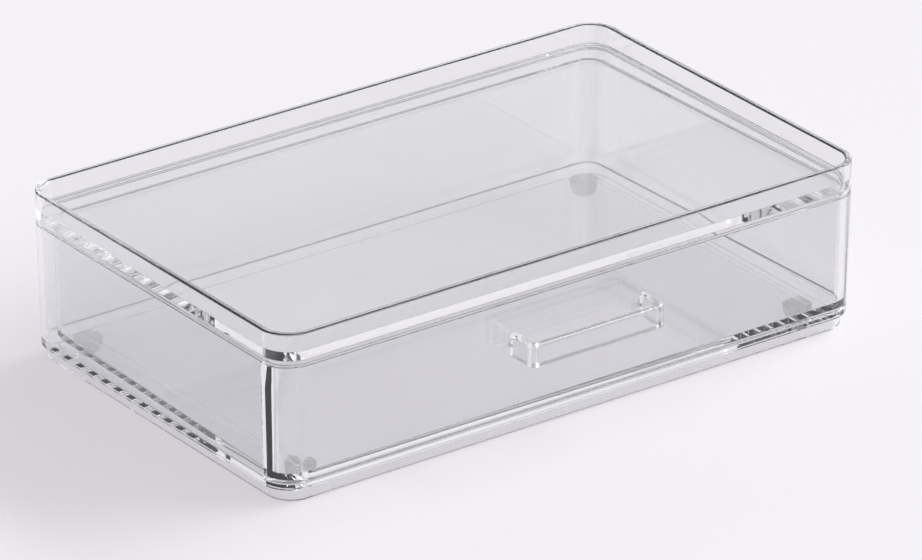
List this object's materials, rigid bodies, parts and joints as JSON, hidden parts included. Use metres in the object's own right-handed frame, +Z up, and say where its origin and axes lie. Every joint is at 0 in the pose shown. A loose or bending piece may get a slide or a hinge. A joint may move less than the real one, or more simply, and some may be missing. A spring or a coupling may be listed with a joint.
{
  "type": "jewelry drawer",
  "caption": "Clear stackable jewelry box with one sliding drawer, a strap handle, a raised stacking rim and bumper feet.",
  "frame": {"origin": "on the ground, below the middle of the whole with its handle", "axes": "+Z up, -Y out of the drawer front, +X to the right seen from the front"},
  "size_m": [0.3048, 0.2054, 0.0787],
  "materials": {
    "clear_plastic": "clear, polished",
    "clear_rubber": "clear, slightly dull"
  },
  "bodies": {
    "case": {"top_cover": "clear_plastic", "case_body": "clear_plastic", "foot_front_left": "clear_rubber", "foot_front_right": "clear_rubber", "foot_back_left": "clear_rubber", "foot_back_right": "clear_rubber"},
    "drawer": {"drawer_tray": "clear_plastic", "drawer_front": "clear_plastic", "drawer_handle": "clear_plastic"}
  },
  "joints": [
    {"name": "drawer_slide", "type": "slide", "parent": "case", "child": "drawer", "axis": [0, -1, 0], "range_m": [0, 0.14]}
  ]
}
